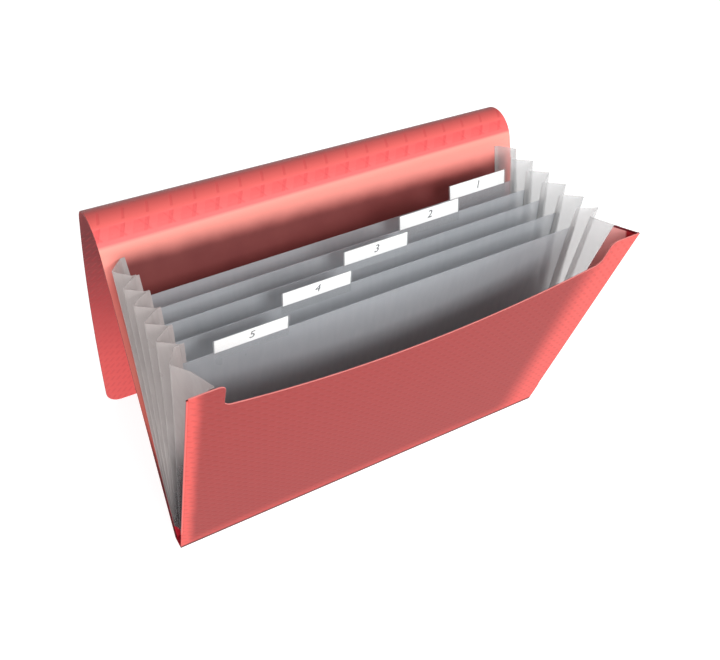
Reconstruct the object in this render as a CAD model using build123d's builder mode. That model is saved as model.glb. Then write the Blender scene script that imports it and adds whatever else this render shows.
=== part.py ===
"""Accordion file folder, standing open as a fan on its base fold and the lower edge of its flap.

Millimetres. X runs along the width, +Y to the rear, +Z up. The origin is the middle of the base's underside.
"""

import os
from math import cos, degrees, hypot, radians, sin, sqrt, tan

from build123d import *

os.makedirs("parts", exist_ok=True)

# Cover sheet: one scored sheet that makes the front, base, back, roll and flap
cover_width = 333.0
cover_thickness = 0.9
front_height = 241.0
back_height = 236.4
base_width = 10.8
fold_clearance = 0.1

# Lean of the plates from upright in degrees, positive to the rear
back_lean = 13.85
first_divider_lean = 8.5
divider_lean_step = 4.54
front_lean = -20.1
pocket_count = 6

# Thumb scoop in the top edge of the front
shoulder_width = 24.0
scoop_end_depth = 24.5
scoop_depth = 43.5
shoulder_radius = 5.0
scoop_corner_radius = 7.0

# Roll at the top of the back, wider at the left, and the flap that hangs from it to the floor
left_roll_radius = 25.45
right_roll_radius = 20.45
roll_turn = 140.0
first_score_turn = 13.5
second_score_turn = 46.0
bend_turn = 115.0
flap_end_slope = 6.0
flap_corner_radius = 12.0
floor_clearance = 0.1

# Pleated film at both sides
film_thickness = 0.35
pleat_panel = 15.0
pleat_bottom = 25.0
pleat_top = 226.5
outer_fold_inset = 2.5
weld_width = 3.0
weld_gap = 0.05

# Front hems: the front's side edges, folded inwards and carrying the last pleat; the left lies nearly flat
hem_width = 17.1
hem_thickness = 0.8
hem_fold_gap = 0.3
hem_weld_width = 4.0
hem_weld_gap = 0.12
left_hem_share = 0.05
left_inner_fold_share = 0.45
left_outer_fold_share = 0.72
right_hem_share = 0.33
right_inner_fold_share = 0.73
right_outer_fold_share = 0.87

# Dividers
divider_thickness = 0.5
divider_bottom = 4.0
divider_top = 211.0
divider_inset = 10.5
divider_corner_radius = 3.0

# Index tabs: a clear sleeve on each divider, with a card in it
label_width = 50.0
label_height = 11.0
label_thickness = 0.25
sleeve_wall = 0.25
sleeve_play = 0.1
sleeve_overhang = 1.0
sleeve_foot = 7.0
tab_right_margin = 9.5
tab_left_margin = 21.5

# Worked out from the sizes above
half_width = cover_width / 2
half_cover = cover_thickness / 2
half_divider = divider_thickness / 2
fold_height = half_cover
fold_pitch = base_width / pocket_count
divider_count = pocket_count - 1
outer_fold_x = half_width - outer_fold_inset
divider_half_width = outer_fold_x - divider_inset
sleeve_half_width = label_width / 2 + sleeve_overhang
first_tab_x = divider_half_width - tab_right_margin - sleeve_half_width
last_tab_x = tab_left_margin + sleeve_half_width - divider_half_width
tab_pitch = (first_tab_x - last_tab_x) / (divider_count - 1)
film_offset = film_thickness / 2 + weld_gap
half_gap = fold_clearance / 2
hem_shares = {-1: left_hem_share, 1: right_hem_share}
inner_fold_shares = {-1: left_inner_fold_share, 1: right_inner_fold_share}
outer_fold_shares = {-1: left_outer_fold_share, 1: right_outer_fold_share}
hinge_turns = [first_score_turn, second_score_turn, bend_turn]
gap_turn = degrees(half_gap / right_roll_radius)

divider_leans = [first_divider_lean - divider_lean_step * i for i in range(divider_count)]
plate_leans = [back_lean, *divider_leans, front_lean]
plate_halves = [half_cover, *[half_divider] * divider_count, half_cover]
plate_folds = [base_width / 2 - fold_pitch * i for i in range(pocket_count + 1)]


def plate_plane(plate):
    """Plane of a plate, with its origin on the plate's fold, x along the width and y up the plate."""
    lean = radians(plate_leans[plate])
    return Plane(
        origin=(0, plate_folds[plate], fold_height),
        x_dir=(1, 0, 0),
        z_dir=(0, -cos(lean), sin(lean)),
    )


def plate_y(plate, height):
    """Where the middle of a plate stands at a height above the floor."""
    return plate_folds[plate] + (height - fold_height) * tan(radians(plate_leans[plate]))


def film_seat_y(plate, height, side):
    """Where film welded to a plate lies at a height; side is 1 on the rear face and -1 on the front face."""
    half = plate_halves[plate] / cos(radians(plate_leans[plate]))
    return plate_y(plate, height) + side * (half + film_offset)


def strip_outline(points, thickness):
    """Closed outline of a strip of even thickness along an open line, with mitred corners."""
    half = thickness / 2
    steps = [(b[0] - a[0], b[1] - a[1]) for a, b in zip(points, points[1:])]
    normals = [(-dy / hypot(dx, dy), dx / hypot(dx, dy)) for dx, dy in steps]
    left = []
    right = []
    for i, (x, y) in enumerate(points):
        before = normals[max(i - 1, 0)]
        after = normals[min(i, len(normals) - 1)]
        reach = half / (1 + before[0] * after[0] + before[1] * after[1])
        mitre_x = (before[0] + after[0]) * reach
        mitre_y = (before[1] + after[1]) * reach
        left.append((x + mitre_x, y + mitre_y))
        right.append((x - mitre_x, y - mitre_y))
    return left + right[::-1]


def panel_reach(rise):
    """How far a pleat panel reaches sideways where it rises by this much from fold to fold."""
    return sqrt(pleat_panel**2 - rise**2)


def pleat_line(pocket, height, side):
    """Film of one pocket at a height: weld, inner fold, outer fold, inner fold, weld."""
    if pocket == pocket_count:
        return front_pleat_line(height, side)
    rear = film_seat_y(pocket - 1, height, -1)
    front = film_seat_y(pocket, height, 1)
    inner_x = outer_fold_x - panel_reach((rear - front) / 2)
    return [
        (inner_x - weld_width, rear),
        (inner_x, rear),
        (outer_fold_x, (rear + front) / 2),
        (inner_x, front),
        (inner_x - weld_width, front),
    ]


def front_gap(height):
    """Depth of the front pocket at a height, from the plate's middle to the film on the last divider."""
    return film_seat_y(divider_count, height, -1) - plate_y(pocket_count, height)


def hem_line(height, side):
    """Front hem at a height, from the cover's side edge to the hem's inner edge."""
    half = half_cover / cos(radians(front_lean))
    root = plate_y(pocket_count, height) + half + hem_thickness / 2 + hem_fold_gap
    rise = hem_shares[side] * front_gap(height)
    outer_x = half_width - hem_thickness
    return [
        (outer_x, root),
        (outer_x - sqrt(hem_width**2 - rise**2), root + rise),
    ]


def front_pleat_line(height, side):
    """Film of the front pocket at a height: weld, three folds, and the weld on the rear face of the hem."""
    front = plate_y(pocket_count, height)
    gap = front_gap(height)
    rear = film_seat_y(divider_count, height, -1)
    outer_y = front + outer_fold_shares[side] * gap
    inner_y = front + inner_fold_shares[side] * gap
    inner_x = outer_fold_x - panel_reach(rear - outer_y)
    hem_outer, hem_inner = hem_line(height, side)
    along_x = (hem_outer[0] - hem_inner[0]) / hem_width
    along_y = (hem_outer[1] - hem_inner[1]) / hem_width
    lift = (hem_thickness + film_thickness) / 2 + hem_weld_gap
    seat = (hem_inner[0] - along_y * lift, hem_inner[1] + along_x * lift)
    return [
        (inner_x - weld_width, rear),
        (inner_x, rear),
        (outer_fold_x, outer_y),
        (outer_fold_x - panel_reach(outer_y - inner_y), inner_y),
        seat,
        (seat[0] + along_x * hem_weld_width, seat[1] + along_y * hem_weld_width),
    ]


def side_strip(line_at, thickness, side):
    """Strip at one side of the folder, ruled from its line at the pleats' bottom to its line at their top."""
    with BuildPart() as strip:
        for height in (pleat_bottom, pleat_top):
            with BuildSketch(Plane.XY.offset(height)):
                with BuildLine():
                    outline = strip_outline(line_at(height, side), thickness)
                    Polyline(*[(side * x, y) for x, y in outline], close=True)
                make_face()
        loft(ruled=True)
    return strip.part


def bend_axis(left_radius, right_radius):
    """Axis that the sheet bends about above the back, for a radius of its outer face at each side."""
    left = back_top.from_local_coords((-half_width, left_radius - half_cover, 0))
    right = back_top.from_local_coords((half_width, right_radius - half_cover, 0))
    return Axis(right, left - right)


def bent_sheet(axis, turn):
    """Sheet that carries on from the top of the back and bends about an axis."""
    with BuildPart() as sheet:
        with BuildSketch(back_top):
            Rectangle(cover_width, cover_thickness)
        revolve(axis=axis, revolution_arc=turn)
    return sheet.part


def flap_radius(roll_radius):
    """Radius of the flap's long curve beside this radius of the roll, so that it ends on the floor."""
    roll_end = radians(back_lean + roll_turn)
    flap_end = radians(180 - flap_end_slope)
    roll_start = back_top.from_local_coords((0, -half_cover, 0)).Z
    flap_top = roll_start + roll_radius * (sin(roll_end) - sin(radians(back_lean)))
    drop = flap_top - cover_thickness * sin(flap_end) - floor_clearance
    return drop / (sin(roll_end) - sin(flap_end))


def save(part, name):
    """Label a finished piece and write its STEP file."""
    part.label = name
    export_step(part, f"parts/{name}.step")


# Base between the two lower folds, with room for the plates to turn on them
with BuildPart() as base_strip:
    with BuildSketch():
        Rectangle(cover_width, base_width - 2 * (half_cover + fold_clearance))
    extrude(amount=cover_thickness)
save(base_strip.part, "base_strip")

# Back, straight to where the roll starts and then bent to the rear as far as the first score line
back_plane = plate_plane(0)
back_top = Plane(
    origin=back_plane.from_local_coords((0, back_height, 0)),
    x_dir=back_plane.x_dir,
    z_dir=back_plane.y_dir,
)
roll_axis = bend_axis(left_roll_radius, right_roll_radius)
with BuildPart() as back_cover:
    with BuildSketch(back_plane):
        Rectangle(cover_width, back_height, align=(Align.CENTER, Align.MIN))
    extrude(amount=half_cover, both=True)
    add(bent_sheet(roll_axis, hinge_turns[0] - gap_turn))
save(back_cover.part, "back_cover")

# Front with its thumb scoop
with BuildPart() as front_cover:
    with BuildSketch(plate_plane(pocket_count)):
        scoop_half = half_width - shoulder_width
        scoop_end = front_height - scoop_end_depth
        with BuildLine():
            Polyline(
                (-scoop_half, scoop_end),
                (-scoop_half, front_height),
                (-half_width, front_height),
                (-half_width, 0),
                (half_width, 0),
                (half_width, front_height),
                (scoop_half, front_height),
                (scoop_half, scoop_end),
            )
            ThreePointArc(
                (scoop_half, scoop_end),
                (0, front_height - scoop_depth),
                (-scoop_half, scoop_end),
            )
        front_face = make_face()
        scoop_sides = front_face.edges().filter_by(Axis.Y).sort_by(SortBy.LENGTH)[:2]
        shoulders = scoop_sides.vertices().group_by(Axis.Y)[-1]
        scoop_corners = scoop_sides.vertices().group_by(Axis.Y)[0]
        fillet(shoulders, shoulder_radius)
        fillet(scoop_corners, scoop_corner_radius)
    extrude(amount=half_cover, both=True)
save(front_cover.part, "front_cover")

# Dividers, each with a clear sleeve and a card at its own place along the top edge
for i in range(divider_count):
    plate = i + 1
    with BuildPart() as divider:
        with BuildSketch(plate_plane(plate)):
            with Locations((0, (divider_bottom + divider_top) / 2)):
                sheet = Rectangle(2 * divider_half_width, divider_top - divider_bottom)
            fillet(sheet.vertices().group_by(Axis.Y)[-1], divider_corner_radius)
        extrude(amount=half_divider, both=True)
    save(divider.part, f"divider_{plate}")

    tab_x = first_tab_x - tab_pitch * i
    up_plate = plate_plane(plate)
    section = Plane(
        origin=up_plate.from_local_coords((tab_x, divider_top, half_divider)),
        x_dir=up_plate.z_dir,
        z_dir=-up_plate.x_dir,
    )
    slot_depth = label_thickness + sleeve_play
    slot_height = label_height + sleeve_play
    sleeve_depth = slot_depth + 2 * sleeve_wall
    with BuildPart() as tab_sleeve:
        with BuildSketch(section):
            Rectangle(sleeve_depth, slot_height + 2 * sleeve_wall, align=Align.MIN)
            Rectangle(sleeve_wall, sleeve_foot, align=(Align.MIN, Align.MAX))
            with Locations((sleeve_wall, sleeve_wall)):
                Rectangle(slot_depth, slot_height, align=Align.MIN, mode=Mode.SUBTRACT)
        extrude(amount=sleeve_half_width, both=True)
    save(tab_sleeve.part, f"tab_sleeve_{plate}")

    with BuildPart() as label_card:
        with BuildSketch(section):
            with Locations((sleeve_wall + sleeve_play / 2, sleeve_wall + sleeve_play / 2)):
                Rectangle(label_thickness, label_height, align=Align.MIN)
        extrude(amount=label_width / 2, both=True)
    save(label_card.part, f"label_card_{plate}")

# Pleats and front hems at both sides
for side_name, side in (("left", -1), ("right", 1)):
    for pocket in range(1, pocket_count + 1):
        pleat = side_strip(lambda height, side: pleat_line(pocket, height, side), film_thickness, side)
        save(pleat, f"{side_name}_pleat_{pocket}")
    save(side_strip(hem_line, hem_thickness, side), f"{side_name}_hem")

# Roll: curved strips that hinge on the two score lines and on the line where the sheet bends most
for i, (start, end) in enumerate(zip(hinge_turns, hinge_turns[1:])):
    roll_strip = bent_sheet(roll_axis, end - start - 2 * gap_turn).rotate(roll_axis, start + gap_turn)
    save(roll_strip, f"flap_roll_{i + 1}")
outer_left = back_top.from_local_coords((-half_width, -half_cover, 0))
outer_right = back_top.from_local_coords((half_width, -half_cover, 0))
for i, turn in enumerate(hinge_turns):
    hinge_line = Edge.make_line(outer_left, outer_right).rotate(roll_axis, turn)
    print("flap_fold", i + 1, hinge_line @ 0, hinge_line @ 1)

# Flap: the end of the roll, then one long curve that steepens until its lower edge stands on the floor
flap_axis = bend_axis(flap_radius(left_roll_radius), flap_radius(right_roll_radius))
flap_turn = 180 - flap_end_slope - back_lean - roll_turn
flap_start = bend_turn + gap_turn
with BuildPart() as flap_panel:
    add(bent_sheet(roll_axis, roll_turn - flap_start).rotate(roll_axis, flap_start))
    add(bent_sheet(flap_axis, flap_turn).rotate(roll_axis, roll_turn))
    short_edges = flap_panel.edges().filter_by(lambda edge: abs(edge.length - cover_thickness) < 0.001)
    fillet(short_edges.sort_by(Axis.Z)[:2], flap_corner_radius)
save(flap_panel.part, "flap_panel")
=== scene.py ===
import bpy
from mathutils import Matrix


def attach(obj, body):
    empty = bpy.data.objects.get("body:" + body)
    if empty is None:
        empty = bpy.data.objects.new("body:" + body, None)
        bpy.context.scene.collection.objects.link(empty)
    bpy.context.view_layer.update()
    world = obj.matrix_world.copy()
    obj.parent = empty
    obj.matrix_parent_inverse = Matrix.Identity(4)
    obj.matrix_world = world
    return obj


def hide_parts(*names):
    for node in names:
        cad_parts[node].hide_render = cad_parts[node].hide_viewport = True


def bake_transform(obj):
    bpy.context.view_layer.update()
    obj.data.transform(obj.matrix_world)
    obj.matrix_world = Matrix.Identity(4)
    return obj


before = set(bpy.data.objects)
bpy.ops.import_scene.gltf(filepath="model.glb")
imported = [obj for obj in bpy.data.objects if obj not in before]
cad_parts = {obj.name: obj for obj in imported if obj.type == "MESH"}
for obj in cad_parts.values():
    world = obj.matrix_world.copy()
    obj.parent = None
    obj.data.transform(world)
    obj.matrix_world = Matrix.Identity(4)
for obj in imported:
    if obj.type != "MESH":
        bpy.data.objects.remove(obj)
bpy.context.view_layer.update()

from math import atan2, cos, pi, radians, sin, sqrt, tan

import bpy
import numpy as np
from mathutils import Matrix, Vector

# Sizes in millimetres, as in the solids; every mesh is scaled to metres when it is made
MM = 0.001
HALF_WIDTH = 166.5
COVER = 0.9
FRONT_HEIGHT = 241.0
BASE_WIDTH = 10.8
FOLD_Z = COVER / 2
POCKETS = 6
DIVIDER = 0.5
DIVIDER_TOP = 211.0
CHAMFER = 0.14
CHAMFER_SHARE = 0.6
PLAY = 0.05

# Plates from back to front: lean from upright in degrees, place of the fold, half of the thickness
BACK_LEAN = 13.85
FIRST_DIVIDER_LEAN = 8.5
DIVIDER_LEAN_STEP = 4.54
FRONT_LEAN = -20.1
DIVIDER_LEANS = [FIRST_DIVIDER_LEAN - DIVIDER_LEAN_STEP * i for i in range(POCKETS - 1)]
LEANS = [BACK_LEAN] + DIVIDER_LEANS + [FRONT_LEAN]
FOLDS = [BASE_WIDTH / 2 - BASE_WIDTH / POCKETS * i for i in range(POCKETS + 1)]
HALVES = [COVER / 2] + [DIVIDER / 2] * (POCKETS - 1) + [COVER / 2]

# Scoop in the front; the rim is coloured by how near it is to the sides and to the foot
SHOULDER = 24.0
SCOOP_END = 24.5
SCOOP_DEPTH = 43.5
SHOULDER_RADIUS = 5.0
SCOOP_RADIUS = 7.0
CORNER_STEPS = 8
SCOOP_STEPS = 60
SIDE_RIM = 2.0
FOOT_RIM = 1.0

# Base
BASE_FOLD_STEPS = 9
BASE_SHARP = 60.0

# Roll and flap: the roll is a little wider at the left end than at the right
ROLL_START = 236.4
ROLL_RADII = (25.0, 20.0)
ROLL_TURN = 140.0
SCORE_TURNS = (13.5, 46.0)
SCORE_DEPTH = 0.2
SCORE_WIDTH = 0.38
FLAP_END = 174.0
FLAP_CORNER = 12.0
FLAP_RISE = 0.147

# Rows and columns of the cover's meshes; the flap's rows crowd towards its lower edge
SHEET_COLUMNS = 57
RIM_COLUMN = 0.995
BACK_ROWS = 40
ROLL_ROWS = 16
FLAP_ROWS = 60
FLAP_CROWDING = 1.6
SCORE_ROWS = (-1.4, -0.9, -0.5, -0.2, 0.0, 0.2, 0.5, 0.9, 1.4)

# Pleats: the film bulges low down, waves a little and reaches lower at the rear than at the front
FILM = 0.35
PANEL = 15.0
PLEAT_BOTTOM = 25.0
REAR_BOTTOM = 12.0
PLEAT_TOP = 226.5
OUTER_X = 164.0
OUTER_BULGE = 2.2
BULGE_FOOT = 40.0
BULGE_RUN = 160.0
WELD = 3.0
FILM_OFFSET = FILM / 2 + PLAY
FOLD_REACH = 1.1
FOLD_STEPS = 7
PANEL_STEPS = 8
WELD_STEPS = (0.25, 0.625, 0.90625, 1.0)
FILM_ROWS = 28
WAVE = 0.22
WAVE_ROWS = 4.0
WAVE_POINTS = 9.0
WAVE_SHIFT = 1.3
FRONT_INNER_FOLD = {-1: 0.45, 1: 0.73}
FRONT_OUTER_FOLD = {-1: 0.72, 1: 0.87}

# Hems, by side
HEM = 0.8
HEM_WIDTH = 17.1
HEM_GAP = 0.3
HEM_RISE = {-1: 0.0, 1: 0.33}
HEM_TOP = {-1: 0.99, 1: 1.0}
HEM_WELD = 4.0
HEM_WELD_GAP = 0.12
HEM_FOLD_INSET = 1.05
HEM_FULLNESS = 1.2
HEM_FOLD_STEPS = 11
HEM_FLAT_STEPS = 12

# Index cards
FIRST_TAB_X = 118.0
TAB_PITCH = 56.0
SLEEVE_WALL = 0.25
CARD = 0.25
CARD_HEIGHT = 11.0
CARD_BOTTOM = DIVIDER_TOP + SLEEVE_WALL + PLAY
CARD_FRONT = DIVIDER / 2 + SLEEVE_WALL + PLAY + CARD
NUMBER_SIZE = 8.5
NUMBER_SHEAR = 0.22
NUMBER_DEPTH = 0.008
NUMBER_GAP = 0.02

FLOOR_HALF = 20000.0


def along_roll(turn):
    """How far along the sheet the roll has turned by so many degrees, halfway across the width."""
    return ROLL_START + sum(ROLL_RADII) / 2 * radians(turn)


SCORES = [along_roll(turn) for turn in SCORE_TURNS]
ROLL_END = along_roll(ROLL_TURN)

# Sockets of the mix node
MIX_SHARE, MIX_A, MIX_B, MIX_RESULT = 0, 6, 7, 2

# Textures: scale of the cover's grain, pitch of the roll's marks in millimetres, depths of the bump in metres
GRAIN = 2600.0
MARK_PITCH = 17.0
FRONT_PRESS = 0.00010
SHEET_PRESS = 0.00016
FINE_GRAIN = 0.00004
FILM_GRAIN = 0.00005
CARD_GRAIN = 0.00003

# Where the colours of the cover, its painted light and its painted shade begin and end, in millimetres on the
# sheet
# Painted light: the front is pale within these reaches of its sides and its foot, and painted shade darkens
# its middle
FRONT_LEFT_LIT_RIM = (3.2, 12.0)
FRONT_RIGHT_LIT_RIM = (14.0, 44.0)
FRONT_FOOT = (-11.0, 20.0)
FRONT_FOOT_LINE = (3.4, 2.6)
SHADED_LENGTH = 560.0
FLAP_MARKS = (ROLL_END + 10.0, ROLL_END + 30.0)
POCKET_SHADE_SIDE = (165.0, 150.0)
POCKET_SHADE_TOP = (237.5, 220.5)
POCKET_SHADE_DEEP = (196.0, 160.0)
CUT_EDGE = (164.9, 165.6)
CUT_EDGE_TOP = (130.0, 50.0)
# Hem: the pale painted light ends where the deep red painted shade begins; the crease is painted shade
HEM_PALE = (-81.5, -79.5)
HEM_CREASE_SHADE = (2.4, 2.0)
HEM_FOLD = (1.0, 0.6)
HEM_TOP_LINE = (224.9, 225.5)

# The same in metres for what is coloured by its place in space, among it the film's painted shade
BASE_FOLD_LINE = (-0.0042, -0.0052)
FILM_SHADE_BEHIND_FRONT = (0.036, 0.004)
FILM_SHADE_BEHIND_TOP = (0.175, 0.10)
FILM_LOW_SHADE = (0.095, 0.03)
FILM_HIGH_SHADE = (0.11, 0.2)
FILM_STREAKS = (1.0, 1.0, 0.12)


def srgb(red, green, blue):
    """Linear colour of an 8-bit display colour."""
    out = []
    for value in (red, green, blue):
        c = value / 255
        out.append(c / 12.92 if c <= 0.04045 else ((c + 0.055) / 1.055) ** 2.4)
    return (*out, 1.0)


class Tree:
    """A material's node tree with short calls for adding and joining nodes."""

    def __init__(self, name):
        self.material = bpy.data.materials.new(name)
        self.material.use_nodes = True
        self.tree = self.material.node_tree
        self.shader = self.tree.nodes["Principled BSDF"]

    def put(self, socket, value):
        if isinstance(value, bpy.types.NodeSocket):
            self.tree.links.new(value, socket)
        else:
            socket.default_value = value

    def add(self, kind, inputs=None, output=0, **settings):
        node = self.tree.nodes.new(kind)
        for key, value in settings.items():
            setattr(node, key, value)
        for key, value in (inputs or {}).items():
            self.put(node.inputs[key], value)
        return node.outputs[output]

    def split(self, vector):
        """The three parts of a vector."""
        return self.add("ShaderNodeSeparateXYZ", {0: vector}).node.outputs

    def math(self, operation, a, b=0.0, c=0.0):
        return self.add("ShaderNodeMath", {0: a, 1: b, 2: c}, operation=operation)

    def times(self, a, b):
        return self.math("MULTIPLY", a, b)

    def step(self, value, low, high):
        """0 at low, 1 at high and smooth between; low may be the larger of the two."""
        inputs = {"Value": value, "From Min": low, "From Max": high, "To Min": 0.0, "To Max": 1.0}
        return self.add("ShaderNodeMapRange", inputs, interpolation_type="SMOOTHSTEP", clamp=True)

    def mix(self, share, a, b):
        inputs = {MIX_SHARE: share, MIX_A: a, MIX_B: b}
        return self.add("ShaderNodeMix", inputs, output=MIX_RESULT, data_type="RGBA")

    def tint(self, colour, mask, amount, tone):
        """The colour moved towards a display tone, by an amount where the mask is 1."""
        return self.mix(self.times(mask, amount), colour, srgb(*tone))

    def noise(self, vector, scale, detail=2.0):
        inputs = {"Vector": vector, "Scale": scale, "Detail": detail}
        return self.add("ShaderNodeTexNoise", inputs)

    def bump(self, height, distance):
        return self.add("ShaderNodeBump", {"Distance": distance, "Height": height})

    def surface(self, **sockets):
        for key, value in sockets.items():
            self.put(self.shader.inputs[key.replace("_", " ")], value)
        return self.material


def sheet_coordinates(tree):
    """Place on the sheet in millimetres: across the width, and up along the sheet."""
    uv = tree.add("ShaderNodeUVMap", uv_map="sheet")
    across, along, _ = tree.split(uv)
    return uv, tree.times(across, 1 / MM), tree.times(along, 1 / MM)


def object_point(tree):
    return tree.add("ShaderNodeTexCoord", output="Object")


def strokes(tree, across, along, pitch, width, slant, soft=0.4):
    """Slanting strokes at an even pitch across the sheet, 1 on a stroke and 0 between, in millimetres."""
    place = tree.math("MULTIPLY_ADD", along, slant, across)
    away = tree.math("PINGPONG", place, pitch / 2)
    return tree.step(away, width / 2 + soft, width / 2 - soft)


def pressed_marks(tree, across, along):
    """Rows of short slanting marks pressed all over the sheet."""
    rows = strokes(tree, along, across, pitch=8.4, width=5.2, slant=-0.3, soft=0.9)
    return tree.times(rows, strokes(tree, across, along, pitch=6.2, width=2.3, slant=0.85, soft=0.8))


def roll_marks(tree, across, along):
    """Bolder marks in a row between the roll's score lines, and a thinner row above them."""
    lower, upper = SCORES
    band = tree.times(tree.step(along, lower + 3.0, lower + 4.2), tree.step(along, upper - 0.8, upper - 1.6))
    bold = strokes(tree, across, along, MARK_PITCH, width=2.8, slant=-0.5)
    wide = strokes(tree, tree.math("ADD", across, 5.0), along, MARK_PITCH, width=8.5, slant=-0.5)
    cross = strokes(tree, tree.math("ADD", across, 8.0), along, MARK_PITCH, width=1.6, slant=0.7)
    mark = tree.math("MAXIMUM", bold, tree.times(tree.math("MAXIMUM", wide, cross), 0.4))
    mark = tree.math("MULTIPLY_ADD", cross, 0.3, mark)
    over = tree.times(tree.step(along, upper + 1.0, upper + 2.0), tree.step(along, upper + 12.0, upper + 9.0))
    thin = tree.times(strokes(tree, across, along, MARK_PITCH, width=2.0, slant=-0.3), over)
    return mark, band, thin


def ramp(tree, value, stops):
    """Colour along a row of (place, colour) stops."""
    node = tree.add("ShaderNodeValToRGB", {0: value}).node
    elements = node.color_ramp.elements
    while len(elements) < len(stops):
        elements.new(0.5)
    for element, (place, tone) in zip(elements, stops):
        element.position = place
        element.color = srgb(*tone)
    return node.outputs[0]


def make_front_material():
    """Front, pale along its sides and its foot as painted light through the sheet, and dark in the middle as
    painted shade.
    """
    pale, dark, foot_line = srgb(213, 86, 81), srgb(145, 53, 52), srgb(74, 30, 30)
    tree = Tree("coral_front")
    uv, across, along = sheet_coordinates(tree)
    cloud = tree.noise(uv, 60.0, 3.0)
    wander = tree.math("MULTIPLY_ADD", cloud, 4.0, -2.0)
    from_left = tree.math("ADD", tree.math("ADD", across, HALF_WIDTH), wander)
    from_right = tree.math("ADD", tree.math("SUBTRACT", HALF_WIDTH, across), wander)
    from_foot = tree.math("ADD", along, wander)
    # Painted shade in the middle, fading to painted light along the sides and the foot
    middle = tree.times(tree.step(from_left, *FRONT_LEFT_LIT_RIM), tree.step(from_right, *FRONT_RIGHT_LIT_RIM))
    middle = tree.times(middle, tree.step(from_foot, *FRONT_FOOT))
    colour = tree.mix(middle, pale, dark)
    colour = tree.mix(tree.step(along, *FRONT_FOOT_LINE), colour, foot_line)
    press = pressed_marks(tree, across, along)
    colour = tree.tint(colour, press, 0.17, (112, 38, 38))
    colour = tree.tint(colour, cloud, 0.10, (186, 76, 72))
    grain = tree.noise(uv, GRAIN)
    height = tree.math("MULTIPLY_ADD", press, -1.0, tree.times(grain, 0.2))
    normal = tree.bump(height, FRONT_PRESS)
    rough = tree.math("MULTIPLY_ADD", grain, 0.14, 0.46)
    return tree.surface(Base_Color=colour, Roughness=rough, Normal=normal, Specular_IOR_Level=0.12)


def make_sheet_material(name, stops, scored):
    """Cover sheet coloured along its length, painted light and painted shade among its colours.

    The scored side has the marks on the roll, painted shade in the pockets and dark cut edges low down.
    """
    tree = Tree(name)
    uv, across, along = sheet_coordinates(tree)
    cloud = tree.noise(uv, 45.0, 3.0)
    # The stops hold painted light and painted shade along the sheet
    shares = [(place / SHADED_LENGTH, tone) for place, tone in stops]
    colour = ramp(tree, tree.math("DIVIDE", along, SHADED_LENGTH), shares)
    hanging = tree.step(along, *FLAP_MARKS)
    press = tree.times(tree.times(pressed_marks(tree, across, along), hanging), 0.6)
    if scored:
        # Painted shade low in the pockets, behind the first divider, darkest deep down
        from_middle = tree.math("ABSOLUTE", across)
        inside = tree.step(from_middle, *POCKET_SHADE_SIDE)
        level = tree.math("MULTIPLY_ADD", across, 0.03, tree.math("MULTIPLY_ADD", cloud, 3.0, along))
        below = tree.step(level, *POCKET_SHADE_TOP)
        shade = tree.mix(tree.step(along, *POCKET_SHADE_DEEP), srgb(104, 42, 42), srgb(158, 64, 62))
        colour = tree.mix(tree.times(inside, below), colour, shade)
        cut = tree.times(tree.step(from_middle, *CUT_EDGE), tree.step(along, *CUT_EDGE_TOP))
        colour = tree.mix(cut, colour, srgb(104, 38, 44))
        mark, band, thin = roll_marks(tree, across, along)
        press = tree.math("MULTIPLY_ADD", mark, band, press)
        press = tree.math("MULTIPLY_ADD", thin, 0.7, press)
    colour = tree.tint(colour, press, 0.42, (206, 58, 66))
    colour = tree.tint(colour, cloud, 0.08, (246, 146, 134))
    grain = tree.noise(uv, GRAIN)
    height = tree.math("MULTIPLY_ADD", press, -1.0, tree.times(grain, 0.12))
    normal = tree.bump(height, SHEET_PRESS)
    rough = tree.math("MULTIPLY_ADD", grain, 0.12, 0.38)
    return tree.surface(Base_Color=colour, Roughness=rough, Normal=normal, Specular_IOR_Level=0.3)


def make_hem_material():
    """Hem, pale with painted light through the sheet, with painted shade in deep red near the top of its fold
    and in a dark line inside its fold, and a dark line along its top.
    """
    deep, pale = srgb(176, 10, 32), srgb(253, 180, 176)
    crease_shade, fold, top_line = srgb(104, 44, 44), srgb(240, 94, 88), srgb(112, 20, 32)
    tree = Tree("coral_hem")
    uv, across, along = sheet_coordinates(tree)
    cloud = tree.noise(uv, 70.0, 3.0)
    aslant = tree.math("MULTIPLY_ADD", along, -0.4, across)
    # Pale painted light with painted shade in deep red near the top of the fold; painted shade in the crease
    colour = tree.mix(tree.step(aslant, *HEM_PALE), deep, pale)
    colour = tree.mix(tree.step(across, *HEM_CREASE_SHADE), colour, crease_shade)
    colour = tree.mix(tree.step(across, *HEM_FOLD), colour, fold)
    colour = tree.tint(colour, cloud, 0.16, (222, 122, 118))
    colour = tree.mix(tree.step(along, *HEM_TOP_LINE), colour, top_line)
    grain = tree.noise(uv, GRAIN)
    normal = tree.bump(grain, FINE_GRAIN)
    rough = tree.math("MULTIPLY_ADD", grain, 0.14, 0.38)
    return tree.surface(Base_Color=colour, Roughness=rough, Normal=normal, Specular_IOR_Level=0.3)


def make_edge_material(name, tone, shade):
    tree = Tree(name)
    cloud = tree.noise(object_point(tree), 120.0)
    colour = tree.mix(cloud, srgb(*tone), srgb(*shade))
    return tree.surface(Base_Color=colour, Roughness=0.5, Specular_IOR_Level=0.25)


def make_base_material():
    """Base, in a deep red that is painted shade with light through the layers of the tip, dark on its front
    fold.
    """
    tree = Tree("coral_base")
    point = object_point(tree)
    cloud = tree.noise(point, 90.0, 3.0)
    # Deep red: painted shade with light through the layers of the tip
    colour = tree.mix(cloud, srgb(212, 26, 50), srgb(196, 40, 54))
    _, y, _ = tree.split(point)
    colour = tree.mix(tree.step(y, *BASE_FOLD_LINE), colour, srgb(108, 48, 46))
    grain = tree.noise(point, 2400.0)
    normal = tree.bump(grain, FINE_GRAIN)
    rough = tree.math("MULTIPLY_ADD", grain, 0.12, 0.36)
    return tree.surface(Base_Color=colour, Roughness=rough, Normal=normal)


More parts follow.
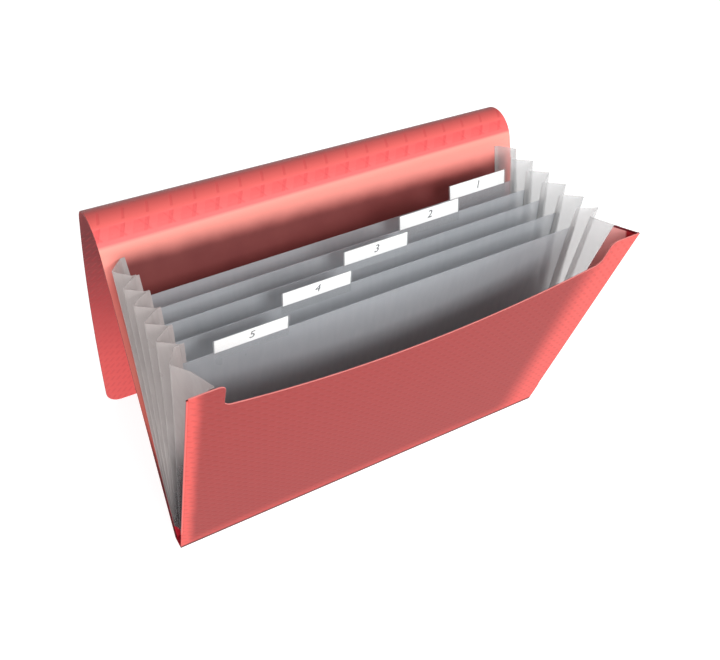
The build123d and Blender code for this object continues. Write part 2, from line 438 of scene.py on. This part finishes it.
def make_film_material(name, tone, shade, deep, alpha):
    """Frosted film with upright streaks, with painted shade high up and a deeper painted shade low down and
    close behind the front.
    """
    tree = Tree(name)
    point = object_point(tree)
    stretched = tree.add("ShaderNodeMapping", {"Vector": point, "Scale": FILM_STREAKS})
    streak = tree.noise(stretched, 260.0, 3.0)
    haze = tree.noise(point, 28.0, 3.0)
    colour = tree.mix(streak, srgb(*tone), srgb(*shade))
    colour = tree.tint(colour, haze, 0.35, shade)
    _, y, z = tree.split(point)
    # Painted shade close behind the front, low down and high up
    behind = tree.math("MULTIPLY_ADD", z, tan(radians(-FRONT_LEAN)), y)
    near = tree.times(tree.step(behind, *FILM_SHADE_BEHIND_FRONT), tree.step(z, *FILM_SHADE_BEHIND_TOP))
    low = tree.math("MAXIMUM", tree.times(tree.step(z, *FILM_LOW_SHADE), 0.6), near)
    colour = tree.tint(colour, tree.step(z, *FILM_HIGH_SHADE), 0.6, shade)
    colour = tree.tint(colour, low, 0.95, deep)
    grain = tree.noise(point, 1800.0)
    height = tree.math("MULTIPLY_ADD", streak, 0.7, tree.times(grain, 0.06))
    normal = tree.bump(height, FILM_GRAIN)
    rough = tree.math("MULTIPLY_ADD", haze, 0.18, 0.22)
    return tree.surface(
        Base_Color=colour, Roughness=rough, Normal=normal, Alpha=alpha, Specular_IOR_Level=0.5
    )


def make_sleeve_material():
    tree = Tree("clear_sleeve")
    haze = tree.noise(object_point(tree), 60.0)
    colour = tree.mix(haze, srgb(244, 248, 250), srgb(228, 234, 238))
    rough = tree.math("MULTIPLY_ADD", haze, 0.10, 0.08)
    return tree.surface(Base_Color=colour, Roughness=rough, Alpha=0.07, Specular_IOR_Level=0.5)


def make_card_material():
    tree = Tree("index_card")
    point = object_point(tree)
    fibre = tree.noise(point, 1500.0, 4.0)
    cloud = tree.noise(point, 40.0)
    colour = tree.mix(fibre, srgb(254, 254, 253), srgb(248, 248, 246))
    colour = tree.tint(colour, cloud, 0.2, (244, 245, 246))
    normal = tree.bump(fibre, CARD_GRAIN)
    return tree.surface(Base_Color=colour, Roughness=0.72, Normal=normal, Specular_IOR_Level=0.25)


def make_ink_material():
    tree = Tree("index_ink")
    blot = tree.noise(object_point(tree), 900.0, 3.0)
    colour = tree.mix(blot, srgb(26, 26, 30), srgb(58, 58, 64))
    return tree.surface(Base_Color=colour, Roughness=0.6)


def make_floor_material():
    tree = Tree("floor")
    cloud = tree.noise(object_point(tree), 3.0)
    colour = tree.mix(cloud, srgb(186, 186, 186), srgb(180, 180, 181))
    white = (1.0, 1.0, 1.0, 1.0)
    return tree.surface(Base_Color=colour, Roughness=0.9, Emission_Color=white, Emission_Strength=0.86)


# Colours along the sheet, by millimetres from the back fold, with painted light and painted shade in them
# Inner face: painted shade with light through the layers low in the V, a painted peach highlight below the
# lower score, painted shade over the crest of the roll
INNER_STOPS = [
    (0, (250, 34, 66)), (26, (240, 32, 60)), (48, (150, 48, 48)), (86, (232, 108, 98)),
    (150, (244, 134, 122)), (212, (240, 128, 120)), (229, (242, 146, 136)), (241.1, (244, 150, 136)),
    (242.3, (238, 98, 97)), (253.6, (237, 96, 96)), (254.4, (248, 132, 124)), (255.2, (236, 104, 100)),
    (265, (210, 90, 88)), (272, (148, 60, 60)), (279, (88, 34, 36)), (284, (136, 52, 54)),
    (291, (200, 76, 76)), (302, (228, 88, 86)), (560, (232, 92, 90)),
]
# Lining: painted shade inside the roll and high on the flap
LINING_STOPS = [
    (0, (204, 74, 74)), (220, (196, 70, 72)), (250, (150, 50, 54)), (318, (116, 32, 41)),
    (400, (186, 66, 70)), (480, (238, 95, 94)), (560, (246, 102, 100)),
]
CORAL_FRONT = make_front_material()
CORAL_SHEET = make_sheet_material("coral_sheet", INNER_STOPS, scored=True)
CORAL_LINING = make_sheet_material("coral_lining", LINING_STOPS, scored=False)
CORAL_HEM = make_hem_material()
CORAL_EDGE = make_edge_material("coral_edge", (150, 60, 58), (116, 44, 44))
PALE_EDGE = make_edge_material("pale_edge", (216, 132, 128), (200, 112, 108))
CORAL_BASE = make_base_material()
# The two sides are copies of one film with their painted light and shade set apart: the left one's shade and
# deep colours are darker
FILM_MATERIALS = {
    -1: make_film_material("pleat_film_left", (240, 231, 229), (180, 171, 169), (66, 62, 66), 0.58),
    1: make_film_material("pleat_film_right", (228, 228, 228), (202, 202, 202), (120, 118, 120), 0.37),
}
# The dividers carry the same painted shade as the film
DIVIDER_MATERIAL = make_film_material(
    "divider_sheet", (216, 219, 222), (184, 188, 193), (120, 118, 122), 0.46
)
SLEEVE_MATERIAL = make_sleeve_material()
CARD_MATERIAL = make_card_material()
INK_MATERIAL = make_ink_material()


def new_object(name, verts, faces, materials, marks=None, uv=None, sharp=35.0):
    """Mesh object from points in millimetres.

    marks has a material number for each face, and uv a place on the sheet for each point.
    """
    mesh = bpy.data.meshes.new(name)
    mesh.from_pydata((np.asarray(verts) * MM).tolist(), [], faces)
    for material in materials:
        mesh.materials.append(material)
    if marks is not None:
        mesh.polygons.foreach_set("material_index", marks)
    if uv is not None:
        layer = mesh.uv_layers.new(name="sheet")
        corners = np.zeros(len(mesh.loops), int)
        mesh.loops.foreach_get("vertex_index", corners)
        layer.data.foreach_set("uv", (np.asarray(uv)[corners] * MM).ravel())
    mesh.polygons.foreach_set("use_smooth", [True] * len(mesh.polygons))
    mesh.set_sharp_from_angle(angle=radians(sharp))
    mesh.validate()
    mesh.update()
    obj = bpy.data.objects.new(name, mesh)
    bpy.context.scene.collection.objects.link(obj)
    return obj


def unit(vectors):
    return vectors / np.maximum(np.linalg.norm(vectors, axis=-1, keepdims=True), 1e-9)


def grid_solid(name, mid, thickness, materials, uv=None, seams=(), dent=None, share=None, even_normals=False):
    """Closed sheet of even thickness round a grid of points of its middle surface.

    Sides named in seams ("first", "last" row) meet a neighbour flush, the others are chamfered.
    materials are for the upper face, the lower face and the rim, or one for all.
    dent sinks the upper face.
    share gives each point's part in a fold, and is returned for every vertex.
    """
    rows, cols = mid.shape[:2]
    across = unit(np.gradient(mid, axis=1))
    along = unit(np.gradient(mid, axis=0))
    normal = unit(np.cross(across, along))
    out = np.zeros_like(mid)
    if "first" not in seams:
        out[0] -= along[0]
    if "last" not in seams:
        out[-1] += along[-1]
    out[:, 0] -= across[:, 0]
    out[:, -1] += across[:, -1]
    half = thickness / 2
    chamfer = min(CHAMFER, half * CHAMFER_SHARE)
    sunk = np.zeros((rows, cols, 1)) if dent is None else dent[..., None]
    upper = mid + normal * (half - sunk) - out * chamfer
    lower = mid - normal * half - out * chamfer
    ring = [(0, c) for c in range(cols)] + [(r, cols - 1) for r in range(1, rows)]
    ring += [(rows - 1, c) for c in range(cols - 2, -1, -1)] + [(r, 0) for r in range(rows - 2, 0, -1)]
    ring_rows, ring_cols = np.array(ring).T
    rim = mid[ring_rows, ring_cols]
    rim_normal = normal[ring_rows, ring_cols] * (half - chamfer)
    count, edge = rows * cols, len(ring)
    verts = np.concatenate([upper.reshape(-1, 3), lower.reshape(-1, 3), rim + rim_normal, rim - rim_normal])
    index = np.arange(count).reshape(rows, cols)
    faces = []
    for row in range(rows - 1):
        for col in range(cols - 1):
            a, b = index[row, col], index[row, col + 1]
            c, d = index[row + 1, col + 1], index[row + 1, col]
            faces.append((a, b, c, d))
            faces.append((d + count, c + count, b + count, a + count))
    marks = [0, len(materials) // 2] * (len(faces) // 2)
    for i in range(edge):
        j = (i + 1) % edge
        top_i, top_j = index[ring[i]], index[ring[j]]
        high_i, high_j = 2 * count + i, 2 * count + j
        low_i, low_j = high_i + edge, high_j + edge
        faces.append((top_j, top_i, high_i, high_j))
        faces.append((high_j, high_i, low_i, low_j))
        faces.append((low_j, low_i, top_i + count, top_j + count))
        marks += [len(materials) - 1] * 3
    surface, rim_places = np.arange(count), index[ring_rows, ring_cols]
    places = np.concatenate([surface, surface, rim_places, rim_places])
    spread = None if uv is None else uv.reshape(-1, 2)[places]
    obj = new_object(name, verts, faces, materials, marks, spread)
    if even_normals:
        flat = normal.reshape(-1, 3)
        custom = np.concatenate([flat, -flat, np.zeros((2 * edge, 3))])
        obj.data.normals_split_custom_set_from_vertices(custom.tolist())
    if share is None:
        return obj
    return obj, share.ravel()[places]


def fold_between(obj):
    """Bakes the piece's placing into its mesh."""
    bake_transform(obj)


def plate_point(plate, x, r, depth=0.0):
    """Point on a plate, r up from its fold and depth in front of its middle."""
    lean = radians(LEANS[plate])
    return (x, FOLDS[plate] + r * sin(lean) - depth * cos(lean), FOLD_Z + r * cos(lean) + depth * sin(lean))


def plate_y(plate, z):
    return FOLDS[plate] + (z - FOLD_Z) * tan(radians(LEANS[plate]))


def film_y(plate, z, side):
    """Where film on a plate lies at a height: side is 1 on the rear face and -1 on the front face."""
    return plate_y(plate, z) + side * (HALVES[plate] / cos(radians(LEANS[plate])) + FILM_OFFSET)


def arc_corner(before, corner, after, reach, steps):
    """Points of a round corner that starts and ends at a reach from the sharp one."""
    least_weight = 0.02
    before, corner, after = (np.array(p, float) for p in (before, corner, after))
    first = (before - corner) / np.linalg.norm(before - corner)
    last = (after - corner) / np.linalg.norm(after - corner)
    weight = max(sqrt(max(0.0, (1 - first @ last) / 2)), least_weight)
    start, end = corner + first * reach, corner + last * reach
    points = []
    for t in np.linspace(0, 1, steps):
        a, b, c = (1 - t) ** 2, 2 * weight * t * (1 - t), t * t
        points.append((a * start + b * corner + c * end) / (a + b + c))
    return points


def smooth(t):
    t = np.clip(t, 0, 1)
    return t * t * (3 - 2 * t)


# Cover sheet: back, roll and flap
def flap_radius(roll_radius):
    """Radius of the flap's long curve beside this radius of the roll, so that it ends on the floor."""
    first, last = radians(BACK_LEAN), radians(BACK_LEAN + ROLL_TURN)
    top = plate_point(0, 0, ROLL_START)[2] + roll_radius * (sin(last) - sin(first))
    return (top - FLAP_RISE) / (sin(last) - sin(radians(FLAP_END)))


def bend_axis(radii):
    """Line that the sheet bends about above the back, from right to left, for its radius at each side."""
    ends = zip((-HALF_WIDTH, HALF_WIDTH), radii)
    left, right = (np.array(plate_point(0, x, ROLL_START, -radius)) for x, radius in ends)
    return right, unit(left - right)


def turned(point, axis, turn):
    """Point turned about a line by an angle in radians."""
    start, line = axis
    arm = point - start
    return start + arm * cos(turn) + np.cross(line, arm) * sin(turn) + line * (line @ arm) * (1 - cos(turn))


FLAP_RADII = tuple(flap_radius(radius) for radius in ROLL_RADII)
FLAP_TURN = FLAP_END - BACK_LEAN - ROLL_TURN
ROLL_AXIS = bend_axis(ROLL_RADII)
FLAP_AXIS = bend_axis(FLAP_RADII)


def flap_length(x):
    return radians(FLAP_TURN) * np.interp(x, (-HALF_WIDTH, HALF_WIDTH), FLAP_RADII)


def sheet_point(x, s):
    """Point of the cover's middle surface, s along the sheet from the back fold."""
    point = np.array(plate_point(0, x, min(s, ROLL_START)))
    if s > ROLL_END:
        point = turned(point, FLAP_AXIS, radians(FLAP_TURN) * (s - ROLL_END) / flap_length(x))
    if s > ROLL_START:
        share = (min(s, ROLL_END) - ROLL_START) / (ROLL_END - ROLL_START)
        point = turned(point, ROLL_AXIS, radians(ROLL_TURN) * share)
    return point


ACROSS = np.unique(np.concatenate([np.linspace(-1, 1, SHEET_COLUMNS), [-RIM_COLUMN, RIM_COLUMN]]))


def sheet_grid(levels, is_flap=False):
    """Middle surface, place on the sheet and depth of the score lines.

    levels are the rows' places along the sheet, or on the flap their shares of its length.
    """
    mid = np.zeros((len(levels), len(ACROSS), 3))
    uv = np.zeros((len(levels), len(ACROSS), 2))
    for i, level in enumerate(levels):
        for j, u in enumerate(ACROSS):
            x, s = u * HALF_WIDTH, level
            if is_flap:
                s = ROLL_END + flap_length(x) * level
                above = max(FLAP_CORNER - flap_length(x) * (1 - level), 0.0)
                x = u * (HALF_WIDTH - FLAP_CORNER + sqrt(FLAP_CORNER**2 - above**2))
            mid[i, j] = sheet_point(x, s)
            uv[i, j] = (x, s)
    dent = sum(SCORE_DEPTH * np.exp(-(((uv[..., 1] - score) / SCORE_WIDTH) ** 2)) for score in SCORES)
    return mid, uv, dent


SHEET_SKIN = [CORAL_SHEET, CORAL_LINING, CORAL_EDGE]
mid, uv, _ = sheet_grid(np.linspace(0, ROLL_START, BACK_ROWS))
back_sheet = grid_solid("back_sheet", mid, COVER, SHEET_SKIN, uv, ("last",), even_normals=True)
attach(back_sheet, "back_cover")
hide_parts("back_cover")

# Stretches of the roll: name, the bodies behind and in front of it.
# In degrees: where it starts and ends, then where its bend begins and stops.
BENDS = [
    ("roll_sheet_1", "back_cover", "flap_roll_1", (0.0, 29.75), (0.0, 27.0)),
    ("roll_sheet_2", "flap_roll_1", "flap_roll_2", (29.75, 80.5), (29.75, 62.25)),
    ("roll_sheet_3", "flap_roll_2", "flap_panel", (80.5, ROLL_TURN), (90.0, ROLL_TURN)),
]
for name, rear, front, ends, bend in BENDS:
    low, high = (along_roll(turn) for turn in ends)
    rows = np.linspace(low, high, ROLL_ROWS)
    near = [score + off for score in SCORES for off in SCORE_ROWS if low < score < high]
    levels = np.unique(np.round(np.concatenate([rows, near]), 4))
    mid, uv, dent = sheet_grid(levels)
    first, last = (along_roll(turn) for turn in bend)
    share = smooth((uv[..., 1] - first) / (last - first))
    piece, weights = grid_solid(
        name, mid, COVER, SHEET_SKIN, uv, ("first", "last"), dent, share, even_normals=True
    )
    fold_between(piece)
    if front != "flap_panel":
        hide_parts(front)

mid, uv, _ = sheet_grid(1 - np.linspace(1, 0, FLAP_ROWS) ** FLAP_CROWDING, is_flap=True)
flap_sheet = grid_solid("flap_sheet", mid, COVER, SHEET_SKIN, uv, ("first",), even_normals=True)
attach(flap_sheet, "flap_panel")
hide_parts("flap_panel")

# Base with its two rounded folds
profile = []
for centre, start in ((BASE_WIDTH / 2, -pi / 2), (-BASE_WIDTH / 2, pi / 2)):
    for t in np.linspace(0, pi, BASE_FOLD_STEPS):
        profile.append((centre + COVER / 2 * cos(start + t), FOLD_Z + COVER / 2 * sin(start + t)))
count = len(profile)
verts = [(x, y, z) for x in (-HALF_WIDTH, HALF_WIDTH) for y, z in profile]
faces = [tuple(range(count))[::-1], tuple(range(count, 2 * count))]
faces += [(i, (i + 1) % count, count + (i + 1) % count, count + i) for i in range(count)]
base_sheet = new_object("base_sheet", verts, faces, [CORAL_BASE], sharp=BASE_SHARP)
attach(base_sheet, "back_cover")
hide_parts("base_strip")


# Front with its scoop
def front_outline():
    """Outline of the front on its plate, anticlockwise from the lower right corner."""
    scoop_half = HALF_WIDTH - SHOULDER
    low = FRONT_HEIGHT - SCOOP_DEPTH
    ends = FRONT_HEIGHT - SCOOP_END
    rise = ends - low
    radius = (scoop_half**2 + rise**2) / (2 * rise)
    centre = low + radius
    half_turn = atan2(scoop_half, radius - rise)
    foot, side = HALF_WIDTH - PLAY, HALF_WIDTH - HEM_FOLD_INSET
    hem_foot = PLEAT_BOTTOM / cos(radians(FRONT_LEAN))
    top, corner = (scoop_half, FRONT_HEIGHT), (scoop_half, ends)
    tangent = (scoop_half - cos(half_turn), ends - sin(half_turn))
    reach = SCOOP_RADIUS * tan((pi / 2 - half_turn) / 2)
    right = [(foot, 0.0), (foot, hem_foot), (side, hem_foot), (side, FRONT_HEIGHT)]
    right += arc_corner((side, FRONT_HEIGHT), top, corner, SHOULDER_RADIUS, CORNER_STEPS)
    right += arc_corner(top, corner, tangent, reach, CORNER_STEPS)
    cut = half_turn - reach / radius
    turns = np.linspace(cut, -cut, SCOOP_STEPS)[1:-1]
    middle = [(radius * sin(turn), centre - radius * cos(turn)) for turn in turns]
    left = [(-x, r) for x, r in right[::-1]]
    return np.array([tuple(p) for p in right] + middle + left)


outline = front_outline()
step_on = np.roll(outline, -1, 0) - outline
edge_normal = unit(np.stack([-step_on[:, 1], step_on[:, 0]], -1))
corner_normal = unit(edge_normal + np.roll(edge_normal, 1, 0))
inner = outline + corner_normal * CHAMFER
face_depth, rim_depth = COVER / 2, COVER / 2 - CHAMFER
rings = [(inner, face_depth), (outline, rim_depth), (outline, -rim_depth), (inner, -face_depth)]
count = len(outline)
verts = [plate_point(POCKETS, x, r, depth) for ring, depth in rings for x, r in ring]
uv = np.concatenate([outline] * len(rings))
faces = [tuple(range(count)), tuple(range(4 * count - 1, 3 * count - 1, -1))]
marks = [0, 0]
for level in range(len(rings) - 1):
    for i in range(count):
        a, b = level * count + i, level * count + (i + 1) % count
        faces.append((b, a, a + count, b + count))
        ends = outline[i], outline[(i + 1) % count]
        if min(abs(x) for x, _ in ends) > HALF_WIDTH - SIDE_RIM:
            marks.append(0)
        else:
            marks.append(1 if max(r for _, r in ends) < FOOT_RIM else 2)
front_sheet = new_object("front_sheet", verts, faces, [CORAL_FRONT, CORAL_EDGE, PALE_EDGE], marks, uv)
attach(front_sheet, "front_cover")
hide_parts("front_cover")


# Pleats and hems: their sections are those of the right side, and side is -1 at the left and 1 at the right
def front_gap(z):
    return film_y(POCKETS - 1, z, -1) - plate_y(POCKETS, z)


def hem_line(z, side):
    """Fold and free edge of the hem at a height."""
    root = plate_y(POCKETS, z) + COVER / 2 / cos(radians(FRONT_LEAN)) + HEM / 2 + HEM_GAP
    rise = HEM_RISE[side] * front_gap(z)
    outer = HALF_WIDTH - HEM
    return (outer, root), (outer - sqrt(HEM_WIDTH**2 - rise**2), root + rise)


def hem_profile(z, side):
    """Section of the hem at a height: round the side edge of the front, then inwards to the free edge."""
    front = plate_y(POCKETS, z)
    (_, outer_y), inner = hem_line(z, side)
    x = HALF_WIDTH - HEM_FOLD_INSET
    radius = (outer_y - front) / 2
    points = []
    for t in np.linspace(0, pi, HEM_FOLD_STEPS):
        points.append((x + radius * sin(t) * HEM_FULLNESS, front + radius * (1 - cos(t))))
    for t in np.linspace(0, 1, HEM_FLAT_STEPS)[1:]:
        points.append((x + (inner[0] - x) * t, outer_y + (inner[1] - outer_y) * t))
    return np.array(points)


def panel_reach(rise):
    return sqrt(PANEL**2 - rise**2)


def outer_fold(z):
    """How far out the pleats' outer folds stand: the film bulges a little towards the bottom."""
    return OUTER_X + OUTER_BULGE * (1 - smooth((z - BULGE_FOOT) / BULGE_RUN))


def pleat_corners(pocket, z, side):
    """Corners of a pleat's section at a height, from the rear weld to the front one."""
    rear = film_y(pocket - 1, z, -1)
    outer = outer_fold(z)
    if pocket < POCKETS:
        front = film_y(pocket, z, 1)
        inner = outer - panel_reach((rear - front) / 2)
        rear_side = [(inner - WELD, rear), (inner, rear)]
        return rear_side + [(outer, (rear + front) / 2), (inner, front), (inner - WELD, front)]
    front = plate_y(POCKETS, z)
    gap = front_gap(z)
    outer_y, inner_y = front + FRONT_OUTER_FOLD[side] * gap, front + FRONT_INNER_FOLD[side] * gap
    inner = outer - panel_reach(rear - outer_y)
    hem_outer, hem_inner = hem_line(z, side)
    along = ((hem_outer[0] - hem_inner[0]) / HEM_WIDTH, (hem_outer[1] - hem_inner[1]) / HEM_WIDTH)
    lift = (HEM + FILM) / 2 + HEM_WELD_GAP
    seat = (hem_inner[0] - along[1] * lift, hem_inner[1] + along[0] * lift)
    return [
        (inner - WELD, rear),
        (inner, rear),
        (outer, outer_y),
        (outer - panel_reach(outer_y - inner_y), inner_y),
        seat,
        (seat[0] + along[0] * HEM_WELD, seat[1] + along[1] * HEM_WELD),
    ]


def pleat_profile(pocket, z, side):
    """Section of a pleat with rounded folds, and how free each point is to wave."""
    corners = [np.array(corner) for corner in pleat_corners(pocket, z, side)]
    points, free = [corners[0]], [0.0]
    for i in range(1, len(corners) - 1):
        fold = arc_corner(corners[i - 1], corners[i], corners[i + 1], FOLD_REACH, FOLD_STEPS)
        before = points[-1]
        for t in np.linspace(0, 1, PANEL_STEPS)[1:-1]:
            points.append(before + (fold[0] - before) * t)
            free.append(sin(pi * t) if i > 1 else 0.0)
        points += fold
        free += [0.0] * len(fold)
    before = points[-1]
    points += [before + (corners[-1] - before) * t for t in WELD_STEPS]
    free += [0.0] * len(WELD_STEPS)
    return np.array(points), np.array(free)


def ripple(a, b, seed):
    """Small even waves, the same on every run."""
    long = sin(a * 3.1 + seed) * 0.5
    short = sin(a * 7.3 - b * 2.0 + seed * 1.7) * 0.3
    return long + short + sin(b * 5.0 + seed * 2.3) * 0.2


def side_arrays(side, *grids):
    """Grids as arrays, with the left side's rows reversed so that its faces look the same way."""
    arrays = [np.array(grid) for grid in grids]
    return [array[:, ::-1] for array in arrays] if side < 0 else arrays


HEIGHTS = np.linspace(PLEAT_BOTTOM, PLEAT_TOP, FILM_ROWS)


def make_pleat(side_name, side, pocket):
    name = f"{side_name}_pleat_{pocket}"
    bottom = REAR_BOTTOM + (PLEAT_BOTTOM - REAR_BOTTOM) * (pocket - 1) / (POCKETS - 1)
    grid, shares = [], []
    for level, z in enumerate(np.linspace(bottom, PLEAT_TOP, FILM_ROWS)):
        points, free = pleat_profile(pocket, z, side)
        rear = film_y(pocket - 1, z, -1)
        front = film_y(pocket, z, 1) if pocket < POCKETS else plate_y(POCKETS, z)
        row = []
        for k, (x, y) in enumerate(points):
            wave = WAVE * free[k] * ripple(level / WAVE_ROWS, k / WAVE_POINTS, pocket * WAVE_SHIFT + side)
            row.append((side * x, y + wave, z))
        grid.append(row)
        shares.append((rear - points[:, 1]) / (rear - front))
    mid, share = side_arrays(side, grid, shares)
    piece, weights = grid_solid(f"{name}_film", mid, FILM, [FILM_MATERIALS[side]], share=share)
    fold_between(piece)
    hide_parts(name)


def make_hem(side_name, side):
    grid, places, shares = [], [], []
    for z in HEIGHTS * HEM_TOP[side]:
        points = hem_profile(z, side)
        rear, front = film_y(POCKETS - 1, z, -1), plate_y(POCKETS, z)
        steps = np.concatenate([[0], np.cumsum(np.hypot(*np.diff(points, axis=0).T))])
        grid.append([(side * x, y, z) for x, y in points])
        places.append([(step, z) for step in steps])
        shares.append((rear - points[:, 1]) / (rear - front))
    mid, uv, share = side_arrays(side, grid, places, shares)
    hem, weights = grid_solid(f"{side_name}_hem_sheet", mid, HEM, [CORAL_HEM], uv, share=share)
    fold_between(hem)
    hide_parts(f"{side_name}_hem")


for side_name, side in (("left", -1), ("right", 1)):
    for pocket in range(1, POCKETS + 1):
        make_pleat(side_name, side, pocket)
    make_hem(side_name, side)

# Dividers, sleeves and cards keep their solids
SOLID_MATERIALS = {"divider": DIVIDER_MATERIAL, "tab_sleeve": SLEEVE_MATERIAL, "label_card": CARD_MATERIAL}
for k in range(1, POCKETS):
    for node, material in SOLID_MATERIALS.items():
        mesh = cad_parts[f"{node}_{k}"].data
        mesh.materials.clear()
        mesh.materials.append(material)

    # Number on the card
    curve = bpy.data.curves.new(f"index_number_{k}", "FONT")
    curve.body = str(k)
    curve.size = NUMBER_SIZE * MM
    curve.shear = NUMBER_SHEAR
    curve.align_x = "CENTER"
    curve.align_y = "CENTER"
    curve.extrude = NUMBER_DEPTH * MM
    text = bpy.data.objects.new(f"index_number_{k}", curve)
    bpy.context.scene.collection.objects.link(text)
    bpy.context.view_layer.update()
    mesh = bpy.data.meshes.new_from_object(text.evaluated_get(bpy.context.evaluated_depsgraph_get()))
    bpy.data.objects.remove(text)
    mesh.materials.clear()
    mesh.materials.append(INK_MATERIAL)
    lean = radians(LEANS[k])
    x_axis = Vector((1, 0, 0))
    up = Vector((0, sin(lean), cos(lean)))
    out = Vector((0, -cos(lean), sin(lean)))
    turn = Matrix((x_axis, up, out)).transposed().to_4x4()
    tab_x = FIRST_TAB_X - TAB_PITCH * (k - 1)
    place = Vector(plate_point(k, tab_x, CARD_BOTTOM + CARD_HEIGHT / 2, CARD_FRONT + NUMBER_GAP)) * MM
    mesh.transform(Matrix.Translation(place) @ turn)
    number = bpy.data.objects.new(f"index_number_{k}", mesh)
    bpy.context.scene.collection.objects.link(number)
    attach(number, f"divider_{k}")

# Floor
near_left, near_right = (-FLOOR_HALF, -FLOOR_HALF, 0), (FLOOR_HALF, -FLOOR_HALF, 0)
far_right, far_left = (FLOOR_HALF, FLOOR_HALF, 0), (-FLOOR_HALF, FLOOR_HALF, 0)
floor_corners = [near_left, near_right, far_right, far_left]
floor = new_object("floor", floor_corners, [(0, 1, 2, 3)], [make_floor_material()])


# Lights and camera, in metres
def area_light(name, place, target, width, height, power):
    light = bpy.data.lights.new(name, "AREA")
    light.shape = "RECTANGLE"
    light.size, light.size_y = width, height
    light.energy = power
    obj = bpy.data.objects.new(name, light)
    bpy.context.scene.collection.objects.link(obj)
    obj.location = place
    obj.rotation_euler = (Vector(target) - Vector(place)).to_track_quat("-Z", "Y").to_euler()
    return obj


area_light("key", place=(0.35, -1.6, 0.95), target=(0, 0, 0.15), width=0.9, height=0.7, power=22)
area_light("top", place=(-0.1, -0.9, 1.8), target=(0, 0, 0.2), width=1.0, height=1.0, power=14)
rear_light = area_light("rear", place=(0.6, 1.8, 0.3), target=(0, 0.1, 0.12), width=1.0, height=0.5, power=12)
rear_light.visible_glossy = False

# Pale all round at eye level, darker overhead
world = bpy.data.worlds.new("studio")
world.use_nodes = True
sky = world.node_tree
direction = sky.nodes.new("ShaderNodeTexCoord")
split = sky.nodes.new("ShaderNodeSeparateXYZ")
fade = sky.nodes.new("ShaderNodeMapRange")
fade.inputs["From Min"].default_value = 0.0
fade.inputs["From Max"].default_value = 0.7
fade.inputs["To Min"].default_value = 1.0
fade.inputs["To Max"].default_value = 0.12
sky.links.new(direction.outputs["Generated"], split.inputs[0])
sky.links.new(split.outputs["Z"], fade.inputs["Value"])
sky.links.new(fade.outputs[0], sky.nodes["Background"].inputs["Strength"])
sky.nodes["Background"].inputs["Color"].default_value = (1, 1, 1, 1)
bpy.context.scene.world = world
bpy.context.scene.view_settings.view_transform = "Standard"

# Camera at the photograph's viewing angle
CAMERA_PLACE = Vector((-0.2704, -0.4642, 0.5922))
CAMERA_FORWARD = Vector((0.381, 0.6671, -0.6402))
CAMERA_UP = Vector((0.3175, 0.5559, 0.7682))
camera_data = bpy.data.cameras.new("camera")
camera_data.sensor_fit = "HORIZONTAL"
camera_data.sensor_width = 36.0
camera_data.lens = 47.30
camera_data.clip_end = 20.0
camera = bpy.data.objects.new("camera", camera_data)
bpy.context.scene.collection.objects.link(camera)
forward = CAMERA_FORWARD.normalized()
right = forward.cross(CAMERA_UP).normalized()
up = right.cross(forward)
camera_turn = Matrix((right, up, -forward)).transposed().to_4x4()
camera.matrix_world = Matrix.Translation(CAMERA_PLACE) @ camera_turn
bpy.context.scene.camera = camera
